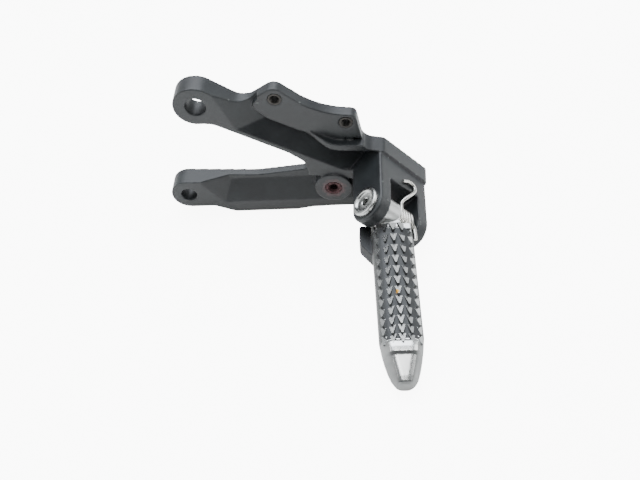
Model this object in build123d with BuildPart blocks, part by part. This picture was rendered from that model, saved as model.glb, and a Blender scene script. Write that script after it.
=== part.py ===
from build123d import *
import os
from math import cos, radians, sin, sqrt

# Folding foot peg of a motorcycle, on its cast holder. Millimetres and degrees.
# The holder bolts to the frame with its flat back, the plane Y = 0, and is built towards -Y.
# The origin is the centre of the upper mounting hole, where it meets that back. +Z is up.

# ---------------------------------------------------------------- driving dimensions
# mounting bosses and arms
boss_t = 11.0  # thickness of both bosses and of the arms' front edges
web_t = 3.0  # floor of the relief between the upper arm's edge, the lug plate and the rib
lower_web_t = 4.8  # floor of the lower arm's relief
upper_boss_r = 11.7
lower_boss_r = 9.8
hole_spacing = 66.0  # between the two mounting holes
hole_lean = 15.0  # the lower hole lies this far forward of straight down
upper_hole_r = 5.25  # clearance hole for M10
lower_hole_r = 4.25  # clearance hole for M8
hole_chamfer = 0.35
foot_drop = 15.0  # lower hole down to the edge that the holder stands on
foot_strip = 8.0  # height of the full-thickness strip along that edge
upper_strip = 2.4  # width of the full-thickness strip along the upper arm
upper_slope = 11.0  # width of the upper arm's sloping face
lower_slope = 13.0  # width of the lower arm's sloping face
upper_ramp = 17.0  # length of the ramp from the upper boss down to the web
lower_ramp = 12.0  # and from the lower boss
vee_depth_x, vee_tall = 42.5, 19.5  # where the gap between the arms starts to close
ear_chamfer = 0.8

# lug plate with its two threaded inserts
lug_t = 6.6
lug_a_x, lug_a_z = 39.6, -1.1
lug_b_x, lug_b_z = 74.0, -18.8
lug_insert_r = 3.5
lug_thread_r = 2.1  # M5 minor radius
lug_rim = 6.6  # metal around the first insert

# centre boss with its threaded insert
centre_x, centre_z = 64.0, -61.0
centre_boss_r = 10.0
centre_boss_t = boss_t + 1.4
centre_insert_r = 4.5
centre_insert_l = 10.0
centre_thread_r = 2.5  # M6 minor radius

# clevis that carries the peg
peg_x, peg_out, peg_z = 95.0, 39.0, -56.5  # middle of the pin, measured out from the back
pin_angle = -49.0  # the pin runs down towards the rear by this much
pin_tilt = 2.5  # and back towards the frame by this much
clevis_w = 35.0  # over both ears, along the pin
slot_w = 20.6  # between the ears
ear_r = 10.5  # half the ears' width, and their round ends
slot_depth = ear_r + 3.8  # from the pin's axis to the slot's floor
flange_t = 6.3  # plate under the clevis
flange_lip = 1.2  # how far that plate stands proud of the clevis
flange_cut = 2.2  # its upper corner stops this much short of the forward ear's outer face

# pivot pin, washer, clip
pin_r = 4.0
running_clear = 0.05
head_r = 2 * pin_r
head_t = 2.2
head_chamfer = 0.7
head_dish_r = 0.7 * head_r
head_dish_t = 1.0
head_hole_r = 2.0
head_hole_t = 6.0
pin_chamfer = 0.5
washer_r = pin_r + 3.5
washer_t = 1.2
washer_clear = 0.2
clip_t = 0.9
clip_r = pin_r + 2.8
clip_bay_r = 1.5  # the two relieved bays beside the clip's mouth
groove_r = pin_r - 0.9
stack_gap = 0.05  # axial play beside the washer and the clip
pin_end = 1.6  # pin beyond its groove

# peg
peg_sweep = 3.9  # the peg points this much towards the rear
peg_droop = 2.0  # and this much downwards
tread_lean = 5.0  # its tread leans this much towards the rear
peg_l = 98.0  # from the pin to the tip
peg_w = 21.0
peg_top = 7.2  # tread floor above the peg's axis
peg_bottom = 8.6
shoulder = ear_r + 0.7  # where the peg starts, just clear of the ears' round ends
nose_l = 25.0
tip_drop = 4.5  # how far the top has come down at the tip
section_round = 0.2  # corner radius of each section, as a share of its smaller side
hub_r = ear_r - 2.1
hub_side_gap = 0.3
neck_from = 3.0  # where the bar's section starts, from the pin's axis
crown_gap = 0.35  # between the coil and the step of the tread's root above the hub
crown_from, crown_to = -4.5, 9.5  # that step, across the peg
heel_w = 6.0  # stop heel beyond the peg's side
heel_l = 14.0
heel_reach = 4.2  # its end goes this far back under the forward ear

# teeth of the tread
tooth_rows = 12
tooth_columns = 5
tooth_start = shoulder + 1.4
tooth_end = peg_l - nose_l + 4.0
tooth_crowding = 0.03  # each row stands closer by this share of the first pitch
tooth_column_pitch = 0.2 * peg_w
tooth_h = 1.7
tooth_root = 1.4  # depth of each tooth below the tread's floor
tooth_w = 3.6
tooth_taper = 15.0

# return spring
wire_r = 0.95
sleeve_r = pin_r + 1.85  # hub sleeve that fills the coil
sleeve_clear = 0.3
coil_r = sleeve_r + sleeve_clear + wire_r
coil_turns = 4
coil_pitch = 1.95
coil_side_gap = 0.5
wire_clear = 0.05  # between the legs and the faces that they press on

os.makedirs("parts", exist_ok=True)

# ---------------------------------------------------------------- frames
lower_x = -hole_spacing * sin(radians(hole_lean))
lower_z = -hole_spacing * cos(radians(hole_lean))
foot_z = lower_z - foot_drop

# along the pin, in the direction that the peg folds, and out along the ears
pin_dir = Vector(
    cos(radians(pin_tilt)) * cos(radians(pin_angle)),
    sin(radians(pin_tilt)),
    cos(radians(pin_tilt)) * sin(radians(pin_angle)),
)
fold_dir = Vector(-pin_dir.Z, 0, pin_dir.X).normalized()
out_dir = pin_dir.cross(fold_dir)
pin_centre = Vector(peg_x, -peg_out, peg_z)
ear_plane = Plane(origin=pin_centre, x_dir=fold_dir, z_dir=pin_dir)  # local x fold, y out, z pin

peg_dir = Vector(
    sin(radians(peg_sweep)),
    -cos(radians(peg_sweep)) * cos(radians(peg_droop)),
    -sin(radians(peg_droop)),
).normalized()
side_hint = Vector(cos(radians(tread_lean)), 0, -sin(radians(tread_lean)))
side_dir = (side_hint - peg_dir * side_hint.dot(peg_dir)).normalized()
peg_plane = Plane(origin=pin_centre, x_dir=side_dir, z_dir=peg_dir)  # local x side, y up, z out

base_centre = pin_centre + out_dir * (-peg_out / abs(out_dir.Y))  # the clevis's middle on the back


def foot_corner(along, across):
    """Corner of the clevis's footprint on the holder's back, as (X, Z)."""
    corner = base_centre + pin_dir * along + fold_dir * across
    return (corner.X, corner.Z)


def ear_point(fold, out, along):
    """Point given in the clevis's own frame."""
    return ear_plane.from_local_coords(Vector(fold, out, along))


def peg_point(side, up, out):
    """Point given in the peg's own frame."""
    return peg_plane.from_local_coords(Vector(side, up, out))


# ---------------------------------------------------------------- holder casting
half_w = clevis_w / 2
rear_top = foot_corner(flange_cut - half_w, ear_r + flange_lip)
rear_low = foot_corner(half_w + flange_lip, ear_r + flange_lip)
bottom_low = foot_corner(half_w + flange_lip, -ear_r)
ear_low = foot_corner(-half_w, -ear_r)
lower_top_z = lower_z + lower_boss_r
vee_z = lower_top_z + vee_tall

upper_low = Vector(6.0, 0, -upper_boss_r - 0.1)
upper_arm_dir = (Vector(vee_depth_x, 0, vee_z) - upper_low).normalized()

with BuildSketch() as outline:
    with BuildLine():
        FilletPolyline(
            # top edge: upper boss, valley, lug peak, long run to the second lug and the clevis
            (upper_boss_r * 0.6, upper_boss_r * 0.8),
            (lug_a_x - 16.2, lug_a_z - 2.1),
            (lug_a_x + 0.4, lug_a_z + 1.24 * lug_rim),
            (lug_b_x - 14.3, lug_b_z + 7.2),
            (lug_b_x + 5.4, lug_b_z + 4.6),
            (lug_b_x + 7.8, rear_top[1] + 2.4),
            # plate under the clevis
            rear_top,
            rear_low,
            bottom_low,
            # foot edge and lower boss
            (centre_x - 12.0, foot_z + 1.8),
            (centre_x - 22.0, foot_z),
            (lower_x + 24.0, foot_z),
            (lower_x + 12.5, lower_z - lower_boss_r),
            (lower_x, lower_z - lower_boss_r),
            (lower_x, lower_top_z),
            # gap between the arms, and back along the upper arm's lower edge
            (vee_depth_x - 20.5, lower_top_z - 2.3),
            (vee_depth_x + 10.0, lower_top_z + 1.1),
            (vee_depth_x + 7.5, vee_z - 6.7),
            (vee_depth_x, vee_z),
            (upper_low.X, upper_low.Z),
            (0.0, -upper_boss_r),
            radius=(0, 9, 6, 42, 3.5, 7, 2, 2, 3, 20, 20, 8, 8, 0, 0, 30, 4, 4, 10, 12, 0),
            close=True,
        )
    make_face()
    Circle(upper_boss_r)
    with Locations((lower_x, lower_z)):
        Circle(lower_boss_r)

# The arms are full thickness along their lower edges and slope back from there to the web.
section_plane = Plane(
    origin=upper_low, x_dir=Vector(-upper_arm_dir.Z, 0, upper_arm_dir.X), z_dir=upper_arm_dir
)  # local x climbs across the arm, local y points away from the back
reach = 150.0  # cutting sections run well past both ends of the holder

# lines on the front plane where each boss's face ends and its ramp starts
upper_crest = Vector(0.75 * upper_boss_r, 0, 0.78 * upper_boss_r)
upper_foot = Vector(upper_low.X + 12.0, 0, upper_low.Z - 5.0)
lower_crest = Vector(lower_x + 8.6, 0, lower_z + 7.5)
lower_foot = Vector(lower_x + 19.4, 0, foot_z + foot_strip - 0.5)


def ramp_plane(crest, foot):
    """Plane square to the line from crest to foot: local x crosses it, local y points off the back."""
    along = (foot - crest).normalized()
    return Plane(origin=crest - along * reach, x_dir=Vector(-along.Z, 0, along.X), z_dir=along)


with BuildPart() as upper_relief:
    with BuildSketch(Plane.XZ) as upper_area:
        with BuildLine():
            Polyline(
                (upper_crest.X, 20.0),
                (upper_crest.X, upper_crest.Z),
                (upper_foot.X, upper_foot.Z),
                (vee_depth_x + 6.5, vee_z - 10.2),
                ear_low,
                rear_top,
                (lug_b_x + 12.0, 20.0),
                close=True,
            )
        make_face()
    extrude(amount=boss_t + 1)
    with BuildSketch(section_plane.offset(-reach)) as upper_section:
        with BuildLine():
            Polyline(
                (upper_strip, boss_t),
                (upper_strip, boss_t + 2),
                (80, boss_t + 2),
                (80, web_t),
                (upper_strip + upper_slope, web_t),
                close=True,
            )
        make_face()
    extrude(amount=2 * reach, mode=Mode.INTERSECT)
    with BuildSketch(ramp_plane(upper_crest, upper_foot)) as upper_rise:
        with BuildLine():
            Polyline(
                (0, boss_t),
                (0, boss_t + 2),
                (reach, boss_t + 2),
                (reach, web_t),
                (upper_ramp, web_t),
                close=True,
            )
        make_face()
    extrude(amount=2 * reach, mode=Mode.INTERSECT)

with BuildPart() as lower_relief:
    with BuildSketch(Plane.XZ) as lower_area:
        with BuildLine():
            Polyline(
                (lower_crest.X, lower_top_z + 4),
                (lower_crest.X, lower_crest.Z),
                (lower_foot.X, lower_foot.Z),
                (bottom_low[0], lower_foot.Z),
                # full thickness above the centre boss, from the gap's end to the clevis
                (centre_x + 0.5 * centre_boss_r, centre_z + 0.85 * centre_boss_r),
                (centre_x - 0.75 * centre_boss_r, centre_z + 0.85 * centre_boss_r),
                (vee_depth_x + 3.5, lower_top_z + 4),
                close=True,
            )
        make_face()
    extrude(amount=boss_t + 1)
    with BuildSketch(Plane.YZ.offset(-reach)) as lower_section:
        with BuildLine():
            Polyline(
                (-boss_t, foot_z + foot_strip),
                (-boss_t - 2, foot_z + foot_strip),
                (-boss_t - 2, lower_top_z + 30),
                (-lower_web_t, lower_top_z + 30),
                (-lower_web_t, foot_z + foot_strip + lower_slope),
                close=True,
            )
        make_face()
    extrude(amount=2 * reach, mode=Mode.INTERSECT)
    with BuildSketch(ramp_plane(lower_crest, lower_foot)) as lower_rise:
        with BuildLine():
            Polyline(
                (0, boss_t),
                (0, boss_t + 2),
                (reach, boss_t + 2),
                (reach, lower_web_t),
                (lower_ramp, lower_web_t),
                close=True,
            )
        make_face()
    extrude(amount=2 * reach, mode=Mode.INTERSECT)

# Rib from the middle of the upper arm to the clevis, rising out of the web at its front end.
with BuildPart() as rib:
    with BuildSketch(Plane.XZ) as rib_area:
        with BuildLine():
            FilletPolyline(
                (46.0, -19.5),
                (56.0, -23.8),
                (67.0, rear_top[1] + 6.0),
                (76.0, rear_top[1] + 5.0),
                (rear_top[0] + 2.0, rear_top[1] + 4.6),
                (rear_top[0] + 4.0, rear_top[1] - 6.0),
                (rear_top[0] - 3.0, rear_top[1] + 0.2),
                (77.0, rear_top[1] + 1.2),
                (66.0, rear_top[1] + 2.0),
                (56.0, -27.0),
                (47.0, -22.5),
                radius=(0, 20, 16, 20, 0, 0, 0, 20, 16, 20, 0),
                close=True,
            )
        make_face()
        add(outline.sketch, mode=Mode.INTERSECT)
    extrude(amount=boss_t)
    with BuildSketch(Plane.XY.offset(-reach)) as rib_rise:
        with BuildLine():
            FilletPolyline(
                (40.0, 0.0),
                (40.0, -web_t),
                (47.0, -web_t),
                (63.0, -boss_t),
                (120.0, -boss_t),
                (120.0, 0.0),
                radius=(0, 0, 8, 12, 0, 0),
                close=True,
            )
        make_face()
    extrude(amount=2 * reach, mode=Mode.INTERSECT)

# Clevis: a block rounded about the pin's axis, slotted between the ears.
with BuildPart() as clevis:
    with BuildSketch(ear_plane.offset(-half_w)) as ear_profile:
        Circle(ear_r)
        with Locations((0, -peg_out / 2 - 3)):
            Rectangle(2 * ear_r, peg_out + 6)
    extrude(amount=clevis_w)
    chamfer(clevis.edges().filter_by(GeomType.CIRCLE), length=ear_chamfer)
    with BuildSketch(ear_plane.offset(-slot_w / 2)) as slot_profile:
        with Locations((0, ear_r)):
            Rectangle(4 * ear_r, 2 * (slot_depth + ear_r))
    extrude(amount=slot_w, mode=Mode.SUBTRACT)
    split(bisect_by=Plane.XZ, keep=Keep.TOP)

with BuildPart() as casting:
    with BuildSketch(Plane.XZ) as whole_plate:
        add(outline.sketch)
    extrude(amount=boss_t)
    add(upper_relief.part, mode=Mode.SUBTRACT)
    add(lower_relief.part, mode=Mode.SUBTRACT)
    # lug plate, a raised pad with its own lower edge
    with BuildSketch(Plane.XZ) as lug_area:
        add(outline.sketch)
        with BuildLine():
            FilletPolyline(
                (31.0, 20.0),
                (31.0, 0.0),
                (26.5, -5.0),
                (34.4, lug_a_z - 12.9),
                (49.0, lug_b_z - 4.0),
                (66.0, rear_top[1] + 6.5),
                (rear_top[0] + 1.0, rear_top[1] + 5.0),
                (rear_top[0] + 1.0, 20.0),
                radius=(0, 3, 4, 10, 30, 12, 0, 0),
                close=True,
            )
        make_face(mode=Mode.INTERSECT)
    extrude(amount=lug_t)
    # plate under the clevis
    with BuildSketch(Plane.XZ) as flange_area:
        add(outline.sketch)
        with BuildLine():
            Polyline(rear_top, rear_low, bottom_low, ear_low, close=True)
        make_face(mode=Mode.INTERSECT)
    extrude(amount=flange_t)
    add(rib.part)
    with BuildSketch(Plane.XZ) as centre_area:
        with Locations((centre_x, centre_z)):
            Circle(centre_boss_r)
    extrude(amount=centre_boss_t)
    add(clevis.part)
    # holes from the back face outwards
    with BuildSketch(Plane.XZ) as mounting_holes:
        Circle(upper_hole_r)
        with Locations((lower_x, lower_z)):
            Circle(lower_hole_r)
    extrude(amount=boss_t, mode=Mode.SUBTRACT)
    with BuildSketch(Plane.XZ) as insert_holes:
        with Locations((lug_a_x, lug_a_z), (lug_b_x, lug_b_z)):
            Circle(lug_insert_r)
    extrude(amount=lug_t, mode=Mode.SUBTRACT)
    with BuildSketch(Plane.XZ) as centre_hole:
        with Locations((centre_x, centre_z)):
            Circle(centre_thread_r)
    extrude(amount=centre_boss_t, mode=Mode.SUBTRACT)
    with BuildSketch(Plane.XZ.offset(centre_boss_t - centre_insert_l)) as centre_seat:
        with Locations((centre_x, centre_z)):
            Circle(centre_insert_r)
    extrude(amount=centre_insert_l, mode=Mode.SUBTRACT)
    with BuildSketch(ear_plane.offset(-half_w)) as pin_bore:
        Circle(pin_r + running_clear)
    extrude(amount=clevis_w, mode=Mode.SUBTRACT)
    # countersunk rims of the mounting holes
    with BuildSketch(Plane.XZ.offset(boss_t)) as rims:
        Circle(upper_hole_r + hole_chamfer)
        with Locations((lower_x, lower_z)):
            Circle(lower_hole_r + hole_chamfer)
    extrude(amount=-hole_chamfer, taper=45, mode=Mode.SUBTRACT)
casting.part.label = "bracket_casting"
export_step(casting.part, "parts/bracket_casting.step")

# ---------------------------------------------------------------- threaded inserts
with BuildPart() as lug_inserts:
    with BuildSketch(Plane.XZ) as lug_rings:
        with Locations((lug_a_x, lug_a_z), (lug_b_x, lug_b_z)):
            Circle(lug_insert_r)
            Circle(lug_thread_r, mode=Mode.SUBTRACT)
    extrude(amount=lug_t)
lug_inserts.part.label = "lug_inserts"
export_step(lug_inserts.part, "parts/lug_inserts.step")

with BuildPart() as centre_insert:
    with BuildSketch(Plane.XZ.offset(centre_boss_t - centre_insert_l)) as centre_ring:
        with Locations((centre_x, centre_z)):
            Circle(centre_insert_r)
            Circle(centre_thread_r, mode=Mode.SUBTRACT)
    extrude(amount=centre_insert_l)
centre_insert.part.label = "centre_insert"
export_step(centre_insert.part, "parts/centre_insert.step")

# ---------------------------------------------------------------- pivot pin, washer and clip
washer_start = half_w + stack_gap
groove_start = washer_start + washer_t + stack_gap
groove_w = clip_t + 2 * stack_gap
pin_far = groove_start + groove_w + pin_end


def along_pin(edge):
    """Where an edge's centre lies along the pin."""
    return ear_plane.to_local_coords(edge.center()).Z


with BuildPart() as pin:
    with BuildSketch(ear_plane.offset(-half_w - head_t)) as head:
        Circle(head_r)
    extrude(amount=head_t)
    chamfer(pin.edges().group_by(along_pin)[0], length=head_chamfer)
    with BuildSketch(ear_plane.offset(-half_w)) as shank:
        Circle(pin_r)
    extrude(amount=half_w + pin_far)
    chamfer(pin.edges().group_by(along_pin)[-1], length=pin_chamfer)
    with BuildSketch(ear_plane.offset(-half_w - head_t)) as dish:
        Circle(head_dish_r)
    extrude(amount=head_dish_t, mode=Mode.SUBTRACT)
    with BuildSketch(ear_plane.offset(-half_w - head_t)) as centre_drill:
        Circle(head_hole_r)
    extrude(amount=head_hole_t, mode=Mode.SUBTRACT)
    with BuildSketch(ear_plane.offset(groove_start)) as groove:
        Circle(pin_r + 1)
        Circle(groove_r, mode=Mode.SUBTRACT)
    extrude(amount=groove_w, mode=Mode.SUBTRACT)
pin.part.label = "pivot_pin"
export_step(pin.part, "parts/pivot_pin.step")

with BuildPart() as washer:
    with BuildSketch(ear_plane.offset(washer_start)) as washer_ring:
        Circle(washer_r)
        Circle(pin_r + washer_clear, mode=Mode.SUBTRACT)
    extrude(amount=washer_t)
    chamfer(washer.edges().filter_by(GeomType.CIRCLE).sort_by(SortBy.RADIUS)[-2:], length=washer_clear)
washer.part.label = "pin_washer"
export_step(washer.part, "parts/pin_washer.step")

with BuildPart() as clip:
    with BuildSketch(ear_plane.offset(groove_start + stack_gap)) as clip_shape:
        Circle(clip_r)
        Circle(groove_r + running_clear, mode=Mode.SUBTRACT)
        # mouth that pushes over the groove, and the two relieved bays beside it
        with Locations((0, clip_r)):
            Rectangle(2 * groove_r * 0.9, 2 * clip_r, mode=Mode.SUBTRACT)
        with PolarLocations(groove_r + 0.6, 2, start_angle=-30, angular_range=-120):
            Circle(clip_bay_r, mode=Mode.SUBTRACT)
    extrude(amount=clip_t)
clip.part.label = "pin_clip"
export_step(clip.part, "parts/pin_clip.step")

# ---------------------------------------------------------------- peg
nose_start = peg_l - nose_l
coil_start = slot_w / 2 - coil_side_gap - wire_r - coil_turns * coil_pitch
coil_end = coil_start + coil_turns * coil_pitch
crown_start = coil_r + wire_r + crown_gap
hub_start = -slot_w / 2 + hub_side_gap
hub_w = coil_start - wire_r - coil_side_gap - hub_start  # hub tongue along the pin


def nose_share(out):
    """1 along the straight body, falling as a quarter ellipse to 0 at the tip."""
    if out <= nose_start:
        return 1.0
    return sqrt(max(0.0, 1 - ((out - nose_start) / nose_l) ** 2))


# neck: the bar's root section carried back to the hub, as wide as the hub
with BuildPart() as neck:
    with BuildSketch(peg_plane.offset(neck_from)) as neck_section:
        with Locations((0, (peg_top - peg_bottom) / 2)):
            RectangleRounded(peg_w, peg_top + peg_bottom, section_round * (peg_top + peg_bottom))
    extrude(amount=shoulder + 1.0 - neck_from)
    with BuildSketch(ear_plane.offset(hub_start)) as neck_slab:
        Rectangle(4 * peg_w, 4 * peg_w)
    extrude(amount=hub_w, mode=Mode.INTERSECT)

with BuildPart() as peg:
    for out in (shoulder, nose_start * 0.5, nose_start, nose_start + nose_l * 0.35,
                nose_start + nose_l * 0.62, nose_start + nose_l * 0.84, peg_l - 0.35):
        share = nose_share(out)
        slide = max(0.0, (out - nose_start) / nose_l)
        width = peg_w * share
        top = peg_top - tip_drop * slide
        bottom = -peg_bottom * (0.35 + 0.65 * share)
        with BuildSketch(peg_plane.offset(out)) as section:
            with Locations((0, (top + bottom) / 2)):
                RectangleRounded(width, top - bottom, section_round * min(width, top - bottom))
    loft(ruled=True)
    # crown: the tread's root reaches into the slot above the hub
    with BuildSketch(peg_plane.offset(crown_start)) as crown:
        with Locations(((crown_from + crown_to) / 2, peg_top / 2)):
            Rectangle(crown_to - crown_from, peg_top - 1.0)
    extrude(amount=shoulder + 1.0 - crown_start)
    # stop heel that rests below the forward ear
    with BuildSketch(Plane(origin=pin_centre, x_dir=side_dir, z_dir=-peg_plane.y_dir)) as heel:
        with BuildLine():
            FilletPolyline(
                (-peg_w / 2 - heel_w, shoulder - heel_reach),
                (-peg_w / 2 - 1.5, shoulder - heel_reach + 1.0),
                (-peg_w / 2 + 1.5, shoulder),
                (0.0, shoulder),
                (0.0, shoulder + heel_l),
                (-peg_w / 2 + 0.5, shoulder + heel_l),
                (-peg_w / 2 - heel_w, shoulder + 5.5),
                radius=(1.5, 0, 0, 0, 0, 3, 3),
                close=True,
            )
        make_face()
    extrude(amount=peg_bottom - 1.0)
    # hub tongue around the pin
    with BuildSketch(ear_plane.offset(hub_start)) as hub:
        Circle(hub_r)
    extrude(amount=hub_w)
    add(neck.part)
    with BuildSketch(ear_plane.offset(hub_start)) as sleeve:
        Circle(sleeve_r)
    extrude(amount=slot_w - 2 * hub_side_gap)
    with BuildSketch(ear_plane.offset(-half_w)) as hub_bore:
        Circle(pin_r + running_clear)
    extrude(amount=clevis_w, mode=Mode.SUBTRACT)
    # teeth: one leaning pyramid each, in rows that draw together towards the tip
    tooth_pitch = (tooth_end - tooth_start) / (
        tooth_rows - 1 - tooth_crowding * (tooth_rows - 1) * (tooth_rows - 2) / 2
    )
    tooth_places = []
    for row in range(tooth_rows):
        out = tooth_start + tooth_pitch * (row - tooth_crowding * row * (row - 1) / 2)
        for column in range(tooth_columns):
            across = (column - (tooth_columns - 1) / 2) * tooth_column_pitch
            tooth_places.append((across, out))
    tread_plane = Plane(origin=pin_centre, x_dir=side_dir, z_dir=peg_plane.y_dir)
    with BuildSketch(tread_plane.offset(peg_top - tooth_root)) as teeth:
        with Locations([(across, -out) for across, out in tooth_places]):
            RegularPolygon(tooth_w / 2, 3, rotation=-90)
    extrude(amount=tooth_h + tooth_root, taper=tooth_taper)
peg.part.label = "peg_body"
export_step(peg.part, "parts/peg_body.step")

# ---------------------------------------------------------------- return spring
face_out = ear_r + wire_r + wire_clear  # wire lying on the clevis's folding-side face
peg_side = peg_w / 2 + wire_r + wire_clear  # wire lying on the peg's side

with BuildPart() as spring:
    with BuildLine() as spring_wire:
        # coil around the pin, wound from the moving leg's end to the fixed leg's
        coil = Helix(
            pitch=coil_pitch,
            height=coil_turns * coil_pitch,
            radius=coil_r,
            center=ear_point(0, 0, coil_end),
            direction=-pin_dir,
        )
        # fixed leg: up the slot, over the edge of its floor and hooked on the clevis's face
        FilletPolyline(
            coil @ 1,
            coil @ 1 + (coil % 1) * (slot_depth * 0.5),
            ear_point(face_out, -slot_depth + 1.8, coil_start + 4.6),
            ear_point(face_out, -slot_depth - 2.6, coil_start + 6.0),
            ear_point(face_out, -slot_depth - 4.8, coil_start + 2.4),
            ear_point(face_out, -slot_depth - 2.6, coil_start - 3.0),
            radius=(4.0, 1.8, 1.8, 1.8),
        )
        # moving leg: out of the coil and along the side of the peg
        FilletPolyline(
            coil @ 0,
            coil @ 0 - (coil % 0) * 3.0,
            peg_point(peg_side, 2.0, shoulder - 2.0),
            peg_point(peg_side, 2.0, shoulder + 5.0),
            radius=(2.0, 2.0),
        )
    spring_path = spring_wire.wire()
    with BuildSketch(Plane(origin=spring_path @ 0, z_dir=spring_path % 0)) as wire_section:
        Circle(wire_r)
    sweep(path=spring_path)
spring.part.label = "return_spring"
export_step(spring.part, "parts/return_spring.step")
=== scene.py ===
import math

import bmesh
import bpy
import numpy as np
from mathutils import Matrix, Vector


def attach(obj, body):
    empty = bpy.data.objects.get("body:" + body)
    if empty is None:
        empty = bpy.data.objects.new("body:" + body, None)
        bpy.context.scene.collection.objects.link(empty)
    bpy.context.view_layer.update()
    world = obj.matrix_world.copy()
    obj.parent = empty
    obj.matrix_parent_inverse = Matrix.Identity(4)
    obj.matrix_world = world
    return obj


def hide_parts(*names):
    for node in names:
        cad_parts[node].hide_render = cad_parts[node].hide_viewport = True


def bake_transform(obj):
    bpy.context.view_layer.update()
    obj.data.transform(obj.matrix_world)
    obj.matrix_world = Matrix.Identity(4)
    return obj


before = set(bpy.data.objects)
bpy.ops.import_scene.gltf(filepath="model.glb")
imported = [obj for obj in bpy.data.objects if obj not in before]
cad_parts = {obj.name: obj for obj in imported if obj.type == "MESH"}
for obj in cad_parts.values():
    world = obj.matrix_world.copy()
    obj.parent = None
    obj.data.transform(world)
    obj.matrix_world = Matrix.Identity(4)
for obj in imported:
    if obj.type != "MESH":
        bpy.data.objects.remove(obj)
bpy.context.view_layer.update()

# ------------------------------------------------------------------ table, light and camera
# A plain pale board in a room that is dim in front and bright behind, with four softboxes. The
# holder lies as it was put down: on the front edge of its foot, one corner of the clevis and the
# underside of the peg.
MM = 0.001
TABLE_NORMAL = Vector((0.0018, 0.0964, 0.9953)).normalized()
TABLE_SIZE = 6.0
BOARD = "FAFAF9"
BOARD_SHADE = "F4F5F3"
BOARD_CLOUDS = 9.0  # patches of shade per metre
ROOM = "F2F6F8"
ROOM_FRONT, ROOM_BACK = 0.16, 0.95  # the room is dim where the viewer stands and bright behind
ROOM_FADE = (-0.55, 0.6)  # and changes from one to the other between these directions along Y
BOARD_GLOW = 9.0  # the board is lit well past white, as a studio sweep is, without flooding the object
BOARD_SHEEN = 1.0  # and this much of that light shows in what reflects the board
CAMERA_AT = Vector((110.6, -345.1, 294.9)) * MM
CAMERA_AIM = Vector((59.1, -52.9, -56.0)) * MM
CAMERA_ROLL = math.radians(-9.3)
CAMERA_LENS = 50.6


def linear(hex_colour):
    """sRGB hex to the linear colour that the shaders take."""
    channels = [int(hex_colour[i:i + 2], 16) / 255 for i in (0, 2, 4)]
    return [c / 12.92 if c <= 0.04045 else ((c + 0.055) / 1.055) ** 2.4 for c in channels] + [1.0]


def add_node(tree, kind, settings=None, links=None):
    """One node, with its properties set and its inputs given as values or as other nodes' outputs."""
    node = tree.nodes.new(kind)
    for key, value in (settings or {}).items():
        setattr(node, key, value)
    for socket, source in (links or {}).items():
        if isinstance(source, bpy.types.NodeSocket):
            tree.links.new(source, node.inputs[socket])
        else:
            node.inputs[socket].default_value = source
    return node


def noise(tree, vector, scale, detail):
    """A noise texture node. Its value is the output Fac."""
    return add_node(tree, "ShaderNodeTexNoise", links={"Vector": vector, "Scale": scale, "Detail": detail})


def mixed(tree, share, low, high):
    """A node between two colours. The mix is its output 2."""
    return add_node(tree, "ShaderNodeMix", {"data_type": "RGBA"}, {0: share, 6: low, 7: high})


def mapped(tree, value, given=(0.0, 1.0), wanted=(0.0, 1.0), settings=None):
    """A node that carries a value from one range over to another. The outcome is its output Result."""
    return add_node(tree, "ShaderNodeMapRange", settings, {
        "Value": value, "From Min": given[0], "From Max": given[1], "To Min": wanted[0], "To Max": wanted[1],
    })


def maths(tree, operation, *values):
    """The output of a Math node."""
    return add_node(tree, "ShaderNodeMath", {"operation": operation}, dict(enumerate(values))).outputs[0]


def bumped(tree, height, strength, distance):
    """A bump node. The bent normal is its output Normal."""
    return add_node(
        tree, "ShaderNodeBump", links={"Height": height, "Strength": strength, "Distance": distance}
    )


def new_material(name, roughness, metallic=0.0):
    """An empty material with its Principled shader; returns it, its node tree and that shader."""
    material = bpy.data.materials.new(name)
    material.use_nodes = True
    shader = material.node_tree.nodes["Principled BSDF"]
    shader.inputs["Roughness"].default_value = roughness
    shader.inputs["Metallic"].default_value = metallic
    return material, material.node_tree, shader


def table_offset():
    """How far along the table's normal the lowest corner of the CAD nodes lies."""
    lowest = 1e9
    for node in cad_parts.values():
        corners = np.empty(len(node.data.vertices) * 3)
        node.data.vertices.foreach_get("co", corners)
        lowest = min(lowest, (corners.reshape(-1, 3) @ np.array(TABLE_NORMAL)).min())
    return lowest


# matt lacquered board: almost white, with a very faint unevenness
board_material, tree, shader = new_material("matt_lacquered_board", 0.55)
coords = add_node(tree, "ShaderNodeTexCoord")
cloud = noise(tree, coords.outputs["Object"], BOARD_CLOUDS, 3.0)
board_tint = mixed(tree, cloud.outputs["Fac"], linear(BOARD), linear(BOARD_SHADE))
tree.links.new(board_tint.outputs[2], shader.inputs["Base Color"])
tree.links.new(board_tint.outputs[2], shader.inputs["Emission Color"])
seen = add_node(tree, "ShaderNodeLightPath")
sheen_light = maths(tree, "MULTIPLY", seen.outputs["Is Glossy Ray"], BOARD_SHEEN)
sweep_light = maths(tree, "MULTIPLY_ADD", seen.outputs["Is Camera Ray"], BOARD_GLOW, sheen_light)
tree.links.new(sweep_light, shader.inputs["Emission Strength"])

table_mesh = bpy.data.meshes.new("table")
table_x = Vector((0, 1, 0)).cross(TABLE_NORMAL).normalized()
table_y = TABLE_NORMAL.cross(table_x)
table_centre = TABLE_NORMAL * (table_offset() - 0.02 * MM)
table_corners = ((-1, -1), (1, -1), (1, 1), (-1, 1))
table_mesh.from_pydata(
    [table_centre + (table_x * a + table_y * b) * (TABLE_SIZE / 2) for a, b in table_corners],
    [], [(0, 1, 2, 3)],
)
table_mesh.materials.append(board_material)
table = bpy.data.objects.new("table", table_mesh)
bpy.context.collection.objects.link(table)

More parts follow.
